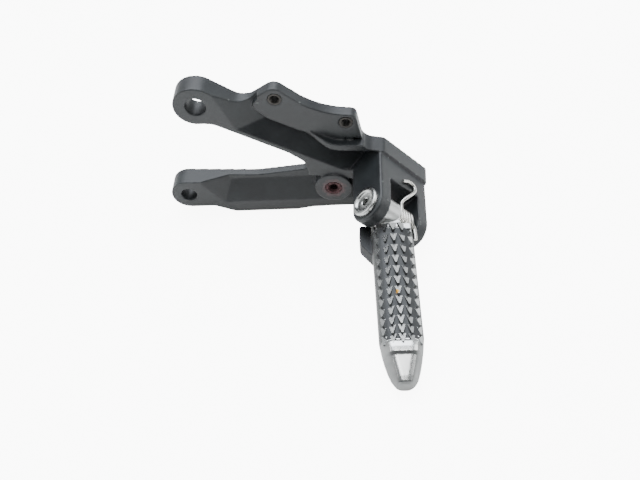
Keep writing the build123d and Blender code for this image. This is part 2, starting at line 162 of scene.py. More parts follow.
world = bpy.data.worlds.new("room")
bpy.context.scene.world = world
world.use_nodes = True
tree = world.node_tree
sky = tree.nodes["Background"]
sky.inputs["Color"].default_value = linear(ROOM)
sky_point = add_node(tree, "ShaderNodeTexCoord")
sky_axes = add_node(tree, "ShaderNodeSeparateXYZ", links={0: sky_point.outputs["Generated"]})
sky_level = mapped(
    tree, sky_axes.outputs["Y"], ROOM_FADE, (ROOM_FRONT, ROOM_BACK), {"interpolation_type": "SMOOTHSTEP"}
)
tree.links.new(sky_level.outputs["Result"], sky.inputs["Strength"])

# softboxes: name, place and aim in millimetres, width and height in metres, watts, colour
SOFTBOXES = (
    ("overhead_softbox", (-40, 300, 560), (60, -20, -40), (0.70, 0.50), 6.5, "F4F8FF"),
    ("side_softbox", (-560, -60, 220), (40, -20, -40), (0.45, 0.45), 1.8, "FFFFFF"),
    ("peg_softbox", (115, -150, 520), (104, -125, -60), (0.22, 0.16), 0.9, "FFFFFF"),
    ("right_softbox", (560, 60, 220), (90, -60, -50), (0.35, 0.45), 1.4, "FFFFFF"),
)
for name, place, aim, size, watts, colour in SOFTBOXES:
    lamp = bpy.data.lights.new(name, "AREA")
    lamp.shape = "RECTANGLE"
    lamp.size, lamp.size_y = size
    lamp.energy = watts
    lamp.color = linear(colour)[:3]
    softbox = bpy.data.objects.new(name, lamp)
    softbox.location = Vector(place) * MM
    softbox.rotation_euler = ((Vector(aim) - Vector(place)) * MM).to_track_quat("-Z", "Y").to_euler()
    bpy.context.collection.objects.link(softbox)

lens = bpy.data.cameras.new("camera")
lens.lens = CAMERA_LENS
lens.sensor_width = 36.0
lens.clip_start = 0.01
camera = bpy.data.objects.new("camera", lens)
forward = (CAMERA_AIM - CAMERA_AT).normalized()
level_right = forward.cross(Vector((0, 0, 1))).normalized()
level_up = level_right.cross(forward)
right = level_right * math.cos(CAMERA_ROLL) + level_up * math.sin(CAMERA_ROLL)
up = right.cross(forward)
camera_axes = Matrix((right, up, -forward)).transposed()
camera.matrix_world = Matrix.Translation(CAMERA_AT) @ camera_axes.to_4x4()
bpy.context.collection.objects.link(camera)
bpy.context.scene.camera = camera

# ------------------------------------------------------------------ holder casting
# One gravity-cast aluminium piece: two arms, lug plate, rib, centre boss and the clevis. It was
# shot-blasted and given a satin black coat, so its edges are soft and its skin slightly grainy.
HOLDER_VOXEL = 0.42 * MM
HOLDER_SMOOTHING = 5
HOLDER_DETAIL = 0.45  # share of the fused skin's faces that is kept
COAT_DARK = "181B1E"
COAT_LIGHT = "262A2C"
# grey of the lightened edges: wear of the coat, and a painted highlight
COAT_WORN_AND_HIGHLIT = "5F6361"
RUST_STAIN = "5C4648"
GRAIN = 0.55 * MM  # blasted grain
PATCH = 16 * MM
EDGE_WEAR_AND_HIGHLIGHT = (0.53, 0.60)  # pointiness from which edges turn lighter, by wear and as a painted highlight, and at which they are fully light
CENTRE_X, CENTRE_Z = 64.0, -61.0
CENTRE_BOSS = Vector((CENTRE_X, 0.0, CENTRE_Z)) * MM
STAIN_RAG = 4.0 * MM  # how unevenly the rust's edge runs
STAIN_EDGE = (7.4 * MM, 9.2 * MM)
STAIN_DEPTH = (-7.0 * MM, -9.0 * MM)  # the stain lies on the boss's front, not behind it


def new_object(name, mesh):
    """Links a mesh as a new object at the origin."""
    piece = bpy.data.objects.new(name, mesh)
    bpy.context.collection.objects.link(piece)
    return piece


def settle(piece):
    """Turns a piece with modifiers into a plain mesh of the same object."""
    graph = bpy.context.evaluated_depsgraph_get()
    graph.update()
    mesh = bpy.data.meshes.new_from_object(piece.evaluated_get(graph))
    piece.modifiers.clear()
    piece.data = mesh
    return mesh


def cast_skin(piece, voxel, smoothing, detail):
    """Rounds every edge as a casting's are: the solids are fused, relaxed a little and thinned."""
    remesh = piece.modifiers.new("fuse", "REMESH")
    remesh.mode = "VOXEL"
    remesh.voxel_size = voxel
    relax = piece.modifiers.new("relax", "SMOOTH")
    relax.factor = 0.5
    relax.iterations = smoothing
    thin = piece.modifiers.new("thin", "DECIMATE")
    thin.ratio = detail
    mesh = settle(piece)
    mesh.polygons.foreach_set("use_smooth", [True] * len(mesh.polygons))
    return mesh


def merged_copy(node_name):
    """A copy of a CAD node's mesh with its loose triangles joined."""
    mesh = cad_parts[node_name].data.copy()
    joined = bmesh.new()
    joined.from_mesh(mesh)
    bmesh.ops.remove_doubles(joined, verts=joined.verts, dist=1e-6)
    joined.to_mesh(mesh)
    joined.free()
    mesh.materials.clear()
    return mesh


# satin black coat on a blasted casting: fine grain, faint patches, sharp edges lightened to grey,
# partly by wear of the coat and partly as a painted edge highlight
holder_material, tree, shader = new_material("satin_coated_cast_aluminium", 0.42)
coords = add_node(tree, "ShaderNodeTexCoord")
point = coords.outputs["Object"]
grain = noise(tree, point, 1 / GRAIN, 2.0)
patches = noise(tree, point, 1 / PATCH, 4.0)
geometry = add_node(tree, "ShaderNodeNewGeometry")
# sharp edges lightened by pointiness: partly wear of the coat, partly a painted highlight
edge_wear_and_highlight = mapped(tree, geometry.outputs["Pointiness"], EDGE_WEAR_AND_HIGHLIGHT)
patch_share = mapped(tree, patches.outputs["Fac"], (0.35, 0.68))
coat = mixed(tree, patch_share.outputs["Result"], linear(COAT_DARK), linear(COAT_LIGHT))
wear_and_highlight_share = maths(tree, "MULTIPLY", edge_wear_and_highlight.outputs["Result"], patches.outputs["Fac"])
worn_and_highlit = mixed(tree, wear_and_highlight_share, coat.outputs[2], linear(COAT_WORN_AND_HIGHLIT))
# rust bled from the centre insert over the front of its boss, with a ragged edge
flat_point = add_node(
    tree, "ShaderNodeVectorMath", {"operation": "MULTIPLY"}, {0: point, 1: (1.0, 0.0, 1.0)}
)
from_boss = add_node(
    tree, "ShaderNodeVectorMath", {"operation": "DISTANCE"}, {0: flat_point.outputs[0], 1: CENTRE_BOSS}
)
ragged = noise(tree, point, 1 / (2.2 * MM), 3.0)
ragged_r = maths(tree, "MULTIPLY_ADD", ragged.outputs["Fac"], STAIN_RAG, from_boss.outputs["Value"])
stain = mapped(tree, ragged_r, STAIN_EDGE, (0.85, 0.0))
front_axes = add_node(tree, "ShaderNodeSeparateXYZ", links={0: point})
on_front = mapped(tree, front_axes.outputs["Y"], STAIN_DEPTH)
front_stain = maths(tree, "MULTIPLY", stain.outputs["Result"], on_front.outputs["Result"])
stained = mixed(tree, front_stain, worn_and_highlit.outputs[2], linear(RUST_STAIN))
coat_roughness = mapped(tree, patches.outputs["Fac"], wanted=(0.34, 0.52))
coat_bump = bumped(tree, grain.outputs["Fac"], 0.25, 0.06 * MM)
tree.links.new(stained.outputs[2], shader.inputs["Base Color"])
tree.links.new(coat_roughness.outputs["Result"], shader.inputs["Roughness"])
tree.links.new(coat_bump.outputs["Normal"], shader.inputs["Normal"])

holder = new_object("holder_casting", merged_copy("bracket_casting"))
cast_skin(holder, HOLDER_VOXEL, HOLDER_SMOOTHING, HOLDER_DETAIL)
holder.data.materials.clear()
holder.data.materials.append(holder_material)
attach(holder, "holder")
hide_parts("bracket_casting")

# ------------------------------------------------------------------ threaded inserts
# Plated steel inserts pressed into the casting: two M5 in the lug plate, and an M6 in the centre
# boss that has rusted. Each is a turned sleeve with a chamfered mouth and a cut thread.
LUG_PLACES = ((39.6, -1.1), (74.0, -18.8))
LUG_T = 6.6
LUG_RADII = (3.5, 2.1, 2.5)  # outside, thread's crest, thread's root
LUG_PITCH = 0.8
CENTRE_FRONT, CENTRE_LENGTH = 12.4, 10.0
CENTRE_RADII = (4.5, 2.5, 3.0)
CENTRE_PITCH = 1.0
SLEEVE_STEPS = 72
THREAD_ROWS = 8  # rings of points for each turn of the thread
CREST_FLAT = 1.3  # above 1 the crests come out flat
MOUTH_FLARE = 1.2  # the chamfered mouths' width, as a share of the thread's depth
INSERT_DARK, INSERT_LIGHT = "242322", "4C4A47"
RUST_DARK, RUST_LIGHT = "33191A", "6A4A4C"


def tidy_normals(mesh, sharp=math.radians(35)):
    """Faces outwards, smooth between edges sharper than the angle."""
    shell = bmesh.new()
    shell.from_mesh(mesh)
    bmesh.ops.remove_doubles(shell, verts=shell.verts, dist=1e-7)
    bmesh.ops.recalc_face_normals(shell, faces=shell.faces)
    shell.to_mesh(mesh)
    shell.free()
    mesh.polygons.foreach_set("use_smooth", [True] * len(mesh.polygons))
    mesh.set_sharp_from_angle(angle=sharp)
    return mesh


def threaded_sleeve(name, x, z, front, length, radii, pitch):
    """A sleeve with its axis along Y and its mouth at y = -front, cut with a real helical thread."""
    outer_r, minor_r, major_r = radii
    rows = int(length / pitch * THREAD_ROWS)
    rings = []
    for row in range(rows + 1):
        depth = length * row / rows
        ring = []
        for step in range(SLEEVE_STEPS):
            phase = (depth / pitch - step / SLEEVE_STEPS) % 1.0
            height = 1 - abs(2 * phase - 1)
            radius = major_r - (major_r - minor_r) * min(1.0, CREST_FLAT * height)
            mouth = minor_r + max(0.0, (major_r - minor_r) * MOUTH_FLARE - min(depth, length - depth))
            ring.append((max(radius, mouth), depth))
        rings.append(ring)
    rings = [[(outer_r, 0.0)] * SLEEVE_STEPS] + rings + [[(outer_r, length)] * SLEEVE_STEPS]
    points = []
    for ring in rings:
        for step, (radius, depth) in enumerate(ring):
            angle = 2 * math.pi * step / SLEEVE_STEPS
            across, rise = radius * math.cos(angle), radius * math.sin(angle)
            points.append(Vector((x + across, -front + depth, z + rise)) * MM)
    faces = []
    for row in range(len(rings)):
        after = (row + 1) % len(rings)
        for step in range(SLEEVE_STEPS):
            beside = (step + 1) % SLEEVE_STEPS
            faces.append((
                row * SLEEVE_STEPS + step, row * SLEEVE_STEPS + beside,
                after * SLEEVE_STEPS + beside, after * SLEEVE_STEPS + step,
            ))
    mesh = bpy.data.meshes.new(name)
    mesh.from_pydata(points, [], faces)
    return tidy_normals(mesh)


# dull zinc-plated steel, greyed in patches
insert_material, tree, shader = new_material("dull_zinc_plated_steel", 0.40, 0.9)
coords = add_node(tree, "ShaderNodeTexCoord")
tarnish = noise(tree, coords.outputs["Object"], 1 / (1.4 * MM), 3.0)
insert_colour = mixed(tree, tarnish.outputs["Fac"], linear(INSERT_DARK), linear(INSERT_LIGHT))
tree.links.new(insert_colour.outputs[2], shader.inputs["Base Color"])

for number, (x, z) in enumerate(LUG_PLACES):
    name = f"lug_insert_{number}"
    sleeve = new_object(name, threaded_sleeve(name, x, z, LUG_T, LUG_T, LUG_RADII, LUG_PITCH))
    sleeve.data.materials.append(insert_material)
    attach(sleeve, "holder")
    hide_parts("lug_inserts")

# rusted steel: dark red-brown pits over a paler pinkish bloom
rust_material, tree, shader = new_material("rusted_steel", 0.75, 0.25)
coords = add_node(tree, "ShaderNodeTexCoord")
pits = noise(tree, coords.outputs["Object"], 1 / (1.1 * MM), 5.0)
rust_share = mapped(tree, pits.outputs["Fac"], (0.38, 0.62))
rust_colour = mixed(tree, rust_share.outputs["Result"], linear(RUST_DARK), linear(RUST_LIGHT))
rust_bump = bumped(tree, pits.outputs["Fac"], 0.6, 0.15 * MM)
tree.links.new(rust_colour.outputs[2], shader.inputs["Base Color"])
tree.links.new(rust_bump.outputs["Normal"], shader.inputs["Normal"])

centre_sleeve = new_object("centre_insert", threaded_sleeve(
    "centre_insert", CENTRE_X, CENTRE_Z, CENTRE_FRONT, CENTRE_LENGTH, CENTRE_RADII, CENTRE_PITCH
))
centre_sleeve.data.materials.append(rust_material)
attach(centre_sleeve, "holder")
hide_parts("centre_insert")

# ------------------------------------------------------------------ pivot pin, washer and clip
# The peg turns on a headed steel pin, turned from bar: a broad rim, a dished face and a centre
# drilling. A plain washer and a push-on clip in a groove hold its far end.
PIN_ANGLE, PIN_TILT = math.radians(-49.0), math.radians(2.5)
PIN_CENTRE = Vector((95.0, -39.0, -56.5))
PIN_DIR = Vector((
    math.cos(PIN_TILT) * math.cos(PIN_ANGLE),
    math.sin(PIN_TILT),
    math.cos(PIN_TILT) * math.sin(PIN_ANGLE),
))
FOLD_DIR = Vector((-PIN_DIR.z, 0, PIN_DIR.x)).normalized()
OUT_DIR = PIN_DIR.cross(FOLD_DIR)
CLEVIS_HALF = 17.5
PIN_R = 4.0
HEAD_T = 2.2
GROOVE_R = PIN_R - 0.9
PIN_END = CLEVIS_HALF + 3.9
LATHE_STEPS = 96
TOOL_RINGS = 0.32 * MM  # spacing of the rings that the turning tool left
PIN_DARK, PIN_LIGHT = "8E9090", "D8D9D6"
WASHER_DARK, WASHER_LIGHT = "77746C", "B9B7AF"
CLIP_DARK, CLIP_LIGHT = "26272A", "4C4D50"


def ear_point(fold, out, along):
    """A point in metres, given in millimetres in the clevis's own frame."""
    return (PIN_CENTRE + FOLD_DIR * fold + OUT_DIR * out + PIN_DIR * along) * MM


def turned(name, profile):
    """A shape turned about the pin's axis; its profile is (radius, along) from pole to pole."""
    points, faces = [], []
    for radius, along in profile:
        for step in range(LATHE_STEPS):
            angle = 2 * math.pi * step / LATHE_STEPS
            points.append(ear_point(radius * math.cos(angle), radius * math.sin(angle), along))
    for row in range(len(profile) - 1):
        for step in range(LATHE_STEPS):
            beside = (step + 1) % LATHE_STEPS
            faces.append((
                row * LATHE_STEPS + step, row * LATHE_STEPS + beside,
                (row + 1) * LATHE_STEPS + beside, (row + 1) * LATHE_STEPS + step,
            ))
    mesh = bpy.data.meshes.new(name)
    mesh.from_pydata(points, [], faces)
    return tidy_normals(mesh, math.radians(28))


# turned steel: bright, with fine rings left by the tool and a little dirt in smears here and there
pin_material, tree, shader = new_material("turned_bright_steel", 0.24, 1.0)
coords = add_node(tree, "ShaderNodeTexCoord")
to_pin = add_node(
    tree, "ShaderNodeVectorMath", {"operation": "SUBTRACT"}, {0: coords.outputs["Object"], 1: PIN_CENTRE * MM}
)
off_axis = add_node(
    tree, "ShaderNodeVectorMath", {"operation": "CROSS_PRODUCT"}, {0: to_pin.outputs[0], 1: PIN_DIR}
)
pin_radius = add_node(tree, "ShaderNodeVectorMath", {"operation": "LENGTH"}, {0: off_axis.outputs[0]})
ring_phase = maths(tree, "MULTIPLY", pin_radius.outputs["Value"], 2 * math.pi / TOOL_RINGS)
ring_bump = bumped(tree, maths(tree, "SINE", ring_phase), 0.08, 0.02 * MM)
smears = noise(tree, coords.outputs["Object"], 1 / (2.5 * MM), 4.0)
pin_colour = mixed(tree, smears.outputs["Fac"], linear(PIN_DARK), linear(PIN_LIGHT))
pin_roughness = mapped(tree, smears.outputs["Fac"], wanted=(0.18, 0.36))
tree.links.new(pin_colour.outputs[2], shader.inputs["Base Color"])
tree.links.new(pin_roughness.outputs["Result"], shader.inputs["Roughness"])
tree.links.new(ring_bump.outputs["Normal"], shader.inputs["Normal"])

# in order: drilling, dish, rounded rim, underside of the head, shank, clip groove, chamfered end
head_face = -CLEVIS_HALF - HEAD_T
pin_mesh = turned("pivot_pin", (
    (0.0, head_face + 6.0), (2.0, head_face + 6.0), (2.0, head_face + 1.35), (2.4, head_face + 1.0),
    (4.9, head_face + 1.0), (5.3, head_face + 0.8), (5.7, head_face + 0.25), (6.0, head_face + 0.04),
    (6.3, head_face), (7.1, head_face), (7.6, head_face + 0.18), (7.9, head_face + 0.5),
    (8.0, head_face + 0.9), (8.0, -CLEVIS_HALF - 0.2),
    (7.9, -CLEVIS_HALF - 0.02), (PIN_R, -CLEVIS_HALF - 0.02),
    (PIN_R, CLEVIS_HALF + 1.3), (GROOVE_R, CLEVIS_HALF + 1.3), (GROOVE_R, CLEVIS_HALF + 2.3),
    (PIN_R, CLEVIS_HALF + 2.3), (PIN_R, CLEVIS_HALF + 3.4), (PIN_R - 0.5, PIN_END), (0.0, PIN_END),
))
pivot_pin = new_object("pivot_pin", pin_mesh)
pivot_pin.data.materials.append(pin_material)
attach(pivot_pin, "holder")
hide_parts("pivot_pin")

# zinc plate gone dull, and black phosphated spring steel: both keep their CAD shapes
washer_material, tree, shader = new_material("zinc_plated_washer_steel", 0.38, 1.0)
coords = add_node(tree, "ShaderNodeTexCoord")
bloom = noise(tree, coords.outputs["Object"], 1 / (3 * MM), 4.0)
washer_colour = mixed(tree, bloom.outputs["Fac"], linear(WASHER_DARK), linear(WASHER_LIGHT))
tree.links.new(washer_colour.outputs[2], shader.inputs["Base Color"])
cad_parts["pin_washer"].material_slots[0].link = "OBJECT"
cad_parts["pin_washer"].material_slots[0].material = washer_material

clip_material, tree, shader = new_material("phosphated_spring_steel", 0.45, 0.8)
coords = add_node(tree, "ShaderNodeTexCoord")
crystals = noise(tree, coords.outputs["Object"], 1 / (0.6 * MM), 3.0)
clip_colour = mixed(tree, crystals.outputs["Fac"], linear(CLIP_DARK), linear(CLIP_LIGHT))
tree.links.new(clip_colour.outputs[2], shader.inputs["Base Color"])
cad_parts["pin_clip"].material_slots[0].link = "OBJECT"
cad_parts["pin_clip"].material_slots[0].material = clip_material

# ------------------------------------------------------------------ return spring
# A torsion spring of drawn steel wire: four turns on the pin beside the hub, one leg hooked over
# the clevis's face and one lying along the peg. The hook rides on the holder and the leg on the peg.
WIRE_R = 0.95
COIL_R = 7.1
COIL_TURNS = 4
COIL_PITCH = 1.95
COIL_START = 1.05
COIL_END = COIL_START + COIL_TURNS * COIL_PITCH
COIL_STEPS = 40
SLOT_DEPTH = 14.3
FACE_OUT = 11.5  # the hook lies this far along FOLD_DIR, on the clevis's face
PEG_SIDE = 11.5  # and the leg this far to the side of the peg
SHOULDER = 11.2  # the peg's bar starts this far out from the pin
SPRING_DARK, SPRING_LIGHT = "9A9994", "E4E3DE"
PEG_SWEEP, PEG_DROOP, TREAD_LEAN = math.radians(3.9), math.radians(2.0), math.radians(5.0)
PEG_DIR = Vector((
    math.sin(PEG_SWEEP), -math.cos(PEG_SWEEP) * math.cos(PEG_DROOP), -math.sin(PEG_DROOP)
)).normalized()
SIDE_HINT = Vector((math.cos(TREAD_LEAN), 0, -math.sin(TREAD_LEAN)))
SIDE_DIR = (SIDE_HINT - PEG_DIR * SIDE_HINT.dot(PEG_DIR)).normalized()
UP_DIR = PEG_DIR.cross(SIDE_DIR)


def peg_point(side, height, out):
    """A point in metres, given in millimetres in the peg's own frame."""
    return (PIN_CENTRE + SIDE_DIR * side + UP_DIR * height + PEG_DIR * out) * MM


def wire(name, points):
    """Round wire bent smoothly through the control points, as a plain mesh."""
    curve = bpy.data.curves.new(name, "CURVE")
    curve.dimensions = "3D"
    curve.bevel_depth = WIRE_R * MM
    curve.bevel_resolution = 6
    curve.use_fill_caps = True
    curve.resolution_u = 12
    spline = curve.splines.new("NURBS")
    spline.points.add(len(points) - 1)
    for control, place in zip(spline.points, points):
        control.co = (*place, 1.0)
    spline.use_endpoint_u = True
    spline.order_u = 3
    bent = new_object(name, curve)
    graph = bpy.context.evaluated_depsgraph_get()
    mesh = bpy.data.meshes.new_from_object(bent.evaluated_get(graph))
    bpy.data.objects.remove(bent)
    return new_object(name, tidy_normals(mesh, math.radians(50)))


# drawn spring steel: bright, with streaks of tarnish here and there
spring_material, tree, shader = new_material("drawn_spring_steel", 0.26, 1.0)
coords = add_node(tree, "ShaderNodeTexCoord")
streaks = noise(tree, coords.outputs["Object"], 1 / (1.8 * MM), 4.0)
spring_colour = mixed(tree, streaks.outputs["Fac"], linear(SPRING_DARK), linear(SPRING_LIGHT))
tree.links.new(spring_colour.outputs[2], shader.inputs["Base Color"])

coil_points = []
for step in range(COIL_TURNS * COIL_STEPS + 1):
    angle = 2 * math.pi * step / COIL_STEPS
    along = COIL_END - COIL_PITCH * step / COIL_STEPS
    coil_points.append(ear_point(COIL_R * math.cos(angle), -COIL_R * math.sin(angle), along))
coil = wire("spring_coil", coil_points)
hook = wire("spring_hook", (
    ear_point(COIL_R, 0.0, COIL_START), ear_point(COIL_R, -4.0, COIL_START - 0.2),
    ear_point(COIL_R, -SLOT_DEPTH * 0.5, COIL_START),
    ear_point(COIL_R + 3.0, -SLOT_DEPTH * 0.5 - 3.0, COIL_START + 2.2),
    ear_point(FACE_OUT, -SLOT_DEPTH + 1.2, COIL_START + 4.8),
    ear_point(FACE_OUT, -SLOT_DEPTH - 1.6, COIL_START + 6.3),
    ear_point(FACE_OUT, -SLOT_DEPTH - 4.2, COIL_START + 5.6),
    ear_point(FACE_OUT, -SLOT_DEPTH - 5.0, COIL_START + 2.0),
    ear_point(FACE_OUT, -SLOT_DEPTH - 3.6, COIL_START - 1.0),
    ear_point(FACE_OUT, -SLOT_DEPTH - 2.6, COIL_START - 3.0),
))
leg = wire("spring_leg", (
    ear_point(COIL_R, 0.0, COIL_END), ear_point(COIL_R, 3.0, COIL_END + 0.1),
    peg_point(PEG_SIDE, 2.0, SHOULDER - 2.0), peg_point(PEG_SIDE, 2.0, SHOULDER + 1.0),
    peg_point(PEG_SIDE, 2.0, SHOULDER + 5.0),
))
for piece in (coil, hook, leg):
    piece.data.materials.clear()
    piece.data.materials.append(spring_material)
    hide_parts("return_spring")
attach(hook, "holder")
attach(leg, "peg")
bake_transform(coil)

# ------------------------------------------------------------------ peg
# Die-cast bare aluminium: an arched bar with rows of prow-shaped teeth, a smooth collar, a flat
# nose facet with bevelled sides, the hub tongue on the pin and the heel that stops the fold.
PEG_VOXEL = 0.34 * MM
PEG_SMOOTHING = 3
PEG_DETAIL = 0.5
PEG_TOP = 7.0
CORNER_STEPS = 6
HUB_R = 8.4
HUB_FROM, HUB_TO = -10.0, -0.4
HUB_STEPS = 96
SLEEVE_R = 5.85
NECK_FROM, NECK_TO, NECK_HALF = 3.0, SHOULDER + 1.5, 10.0
# the dark colour is dirt in the grooves and also painted shade on faces turned from the light
PEG_DARK, PEG_LIGHT, PEG_GRIME_AND_SHADE = "B4B6B6", "EEEFED", "202225"
PAINT = "F2B01E"

# sections of the bar from the root to the tip: out, half-width, half-width of the top facet,
# facet height, shoulder height, belly half-width, bottom
PEG_SECTIONS = (
    (11.2, 10.1, 5.6, 6.6, 3.2, 7.6, -8.2),
    (11.9, 10.5, 6.0, 7.0, 3.4, 8.0, -8.6),
    (74.0, 10.5, 6.0, 7.0, 3.4, 8.0, -8.6),
    (77.6, 10.0, 5.8, 6.9, 3.3, 7.6, -8.5),
    (78.6, 9.9, 6.4, 8.0, 3.6, 7.5, -8.5),
    (81.4, 9.5, 6.2, 8.3, 3.5, 7.2, -8.4),
    (84.0, 9.0, 6.0, 7.9, 3.2, 6.8, -8.2),
    (84.9, 8.9, 5.9, 6.9, 1.6, 6.6, -8.1),
    (90.0, 7.7, 4.8, 5.4, 0.2, 5.6, -7.4),
    (94.5, 6.3, 3.7, 4.1, -0.8, 4.4, -6.4),
    (97.0, 5.0, 3.2, 3.2, -1.6, 3.4, -5.4),
    (98.0, 3.6, 2.4, 1.6, -2.0, 2.4, -4.4),
)


def rounded(corners, radius):
    """The closed polygon with each corner turned into a bend of CORNER_STEPS points."""
    points = []
    count = len(corners)
    for number in range(count):
        here = Vector(corners[number])
        before, after = Vector(corners[number - 1]), Vector(corners[(number + 1) % count])
        reach = min(radius, (before - here).length * 0.45, (after - here).length * 0.45)
        first = here + (before - here).normalized() * reach
        last = here + (after - here).normalized() * reach
        for step in range(CORNER_STEPS):
            t = step / (CORNER_STEPS - 1)
            points.append(first * (1 - t) ** 2 + here * (2 * t * (1 - t)) + last * t ** 2)
    return points


def lofted(rings):
    """Points and faces of a closed skin through rings of equal length, with flat ends."""
    points = [place for ring in rings for place in ring]
    count = len(rings[0])
    faces = []
    for row in range(len(rings) - 1):
        for step in range(count):
            beside = (step + 1) % count
            faces.append((
                row * count + step, row * count + beside, (row + 1) * count + beside, (row + 1) * count + step
            ))
    faces.append(tuple(range(count))[::-1])
    faces.append(tuple(range((len(rings) - 1) * count, len(rings) * count)))
    return points, faces


def skin(name, parts):
    """One mesh of several closed skins."""
    points, faces = [], []
    for part_points, part_faces in parts:
        start = len(points)
        points += part_points
        faces += [tuple(start + corner for corner in face) for face in part_faces]
    mesh = bpy.data.meshes.new(name)
    mesh.from_pydata(points, [], faces)
    shell = bmesh.new()
    shell.from_mesh(mesh)
    bmesh.ops.recalc_face_normals(shell, faces=shell.faces)
    bmesh.ops.triangulate(shell, faces=shell.faces)
    shell.to_mesh(mesh)
    shell.free()
    return mesh


bar_rings = []
for out, half, facet, top, shoulder, belly, bottom in PEG_SECTIONS:
    outline = rounded(
        ((facet, top), (half, shoulder), (half, bottom + 4.0), (belly, bottom),
         (-belly, bottom), (-half, bottom + 4.0), (-half, shoulder), (-facet, top)), 2.6,
    )
    bar_rings.append([peg_point(place.x, place.y, out) for place in outline])

# hub and its sleeve: round about the pin, with eased rims
hub_rings = []
for radius, along in (
    (HUB_R - 0.45, HUB_FROM), (HUB_R, HUB_FROM + 0.5), (HUB_R, HUB_TO - 0.5), (HUB_R - 0.45, HUB_TO),
    (SLEEVE_R, HUB_TO + 0.1), (SLEEVE_R, CLEVIS_HALF - 7.5),
):
    hub_rings.append([
        ear_point(radius * math.cos(angle), radius * math.sin(angle), along)
        for angle in (2 * math.pi * step / HUB_STEPS for step in range(HUB_STEPS))
    ])

# neck: the bar's own section carried back to the hub, cut off square with the hub's two faces
neck_rings = []
for along in (HUB_FROM, HUB_TO):
    ring = []
    for out, height in ((NECK_FROM, 5.4), (NECK_TO, 6.4), (NECK_TO, -8.0), (NECK_FROM, -7.0)):
        flat = peg_point(0, height, out) / MM - PIN_CENTRE
        side = (along - flat.dot(PIN_DIR)) / SIDE_DIR.dot(PIN_DIR)
        ring.append(peg_point(max(-NECK_HALF, min(NECK_HALF, side)), height, out))
    neck_rings.append(ring)

# stop heel, a thick web off the forward lower edge of the root
heel_outline = rounded(
    ((-16.4, 4.9), (-8.4, 5.2), (-7.4, 11.3), (0.0, 11.3), (0.0, 25.2), (-10.0, 25.2), (-16.4, 16.7)), 1.6,
)
HEEL_HEIGHTS = (-7.9, -7.3, -0.5, 0.1)
heel_rings = [[peg_point(place.x, height, place.y) for place in heel_outline] for height in HEEL_HEIGHTS]

# crown, the step of the tread's root that reaches into the slot above the hub
crown_outline = rounded(((-4.3, 8.6), (9.3, 8.6), (9.3, 12.5), (-4.3, 12.5)), 0.5)
CROWN_HEIGHTS = (0.8, 5.9, 6.5)
crown_rings = [[peg_point(place.x, height, place.y) for place in crown_outline] for height in CROWN_HEIGHTS]

peg_parts = (bar_rings, hub_rings, neck_rings, heel_rings, crown_rings)
peg = new_object("peg_body", skin("peg_body", [lofted(rings) for rings in peg_parts]))
cast_skin(peg, PEG_VOXEL, PEG_SMOOTHING, PEG_DETAIL)

# prow-shaped tooth, pointing to the tip and highest there: root edge wide, two steep sides
TOOTH_HALF, TOOTH_BACK, TOOTH_TIP, TOOTH_H, TOOTH_ROOT = 1.75, -1.8, 3.4, 1.75, 1.6
tooth_mesh = bpy.data.meshes.new("tooth")
tooth_mesh.from_pydata(
    [Vector(place) * MM for place in (
        (-TOOTH_HALF, TOOTH_BACK, 0.35), (TOOTH_HALF, TOOTH_BACK, 0.35),
        (0.35, TOOTH_TIP, TOOTH_H), (-0.35, TOOTH_TIP, TOOTH_H),
        (-TOOTH_HALF - 0.5, TOOTH_BACK - 0.6, -TOOTH_ROOT),
        (TOOTH_HALF + 0.5, TOOTH_BACK - 0.6, -TOOTH_ROOT),
        (0.7, TOOTH_TIP + 0.9, -TOOTH_ROOT), (-0.7, TOOTH_TIP + 0.9, -TOOTH_ROOT),
    )],
    [], [(0, 1, 2, 3), (7, 6, 5, 4), (0, 4, 5, 1), (1, 5, 6, 2), (2, 6, 7, 3), (3, 7, 4, 0)],
)
tooth = new_object("tooth", tooth_mesh)

# Geometry Nodes set the teeth out: even columns round the arch, rows drawing together to the tip
rows_tree = bpy.data.node_groups.new("tooth_rows", "GeometryNodeTree")
rows_tree.interface.new_socket("Geometry", in_out="OUTPUT", socket_type="NodeSocketGeometry")
ROW_INPUTS = (
    ("Tooth", "NodeSocketObject", tooth), ("Metal", "NodeSocketMaterial", None),
    ("Rows", "NodeSocketInt", 12), ("Columns", "NodeSocketInt", 5),
    ("Start", "NodeSocketFloat", 10.9 * MM), ("Pitch", "NodeSocketFloat", 6.98 * MM),
    ("Crowding", "NodeSocketFloat", 0.0298), ("Column Pitch", "NodeSocketFloat", 4.2 * MM),
    ("Arch Radius", "NodeSocketFloat", 15.0 * MM), ("Top", "NodeSocketFloat", PEG_TOP * MM),
)
sockets = {
    name: rows_tree.interface.new_socket(name, in_out="INPUT", socket_type=kind)
    for name, kind, value in ROW_INPUTS
}
given = add_node(rows_tree, "NodeGroupInput").outputs


def sum_node(operation, *values):
    """The output of a Math node of the tooth tree."""
    return maths(rows_tree, operation, *values)


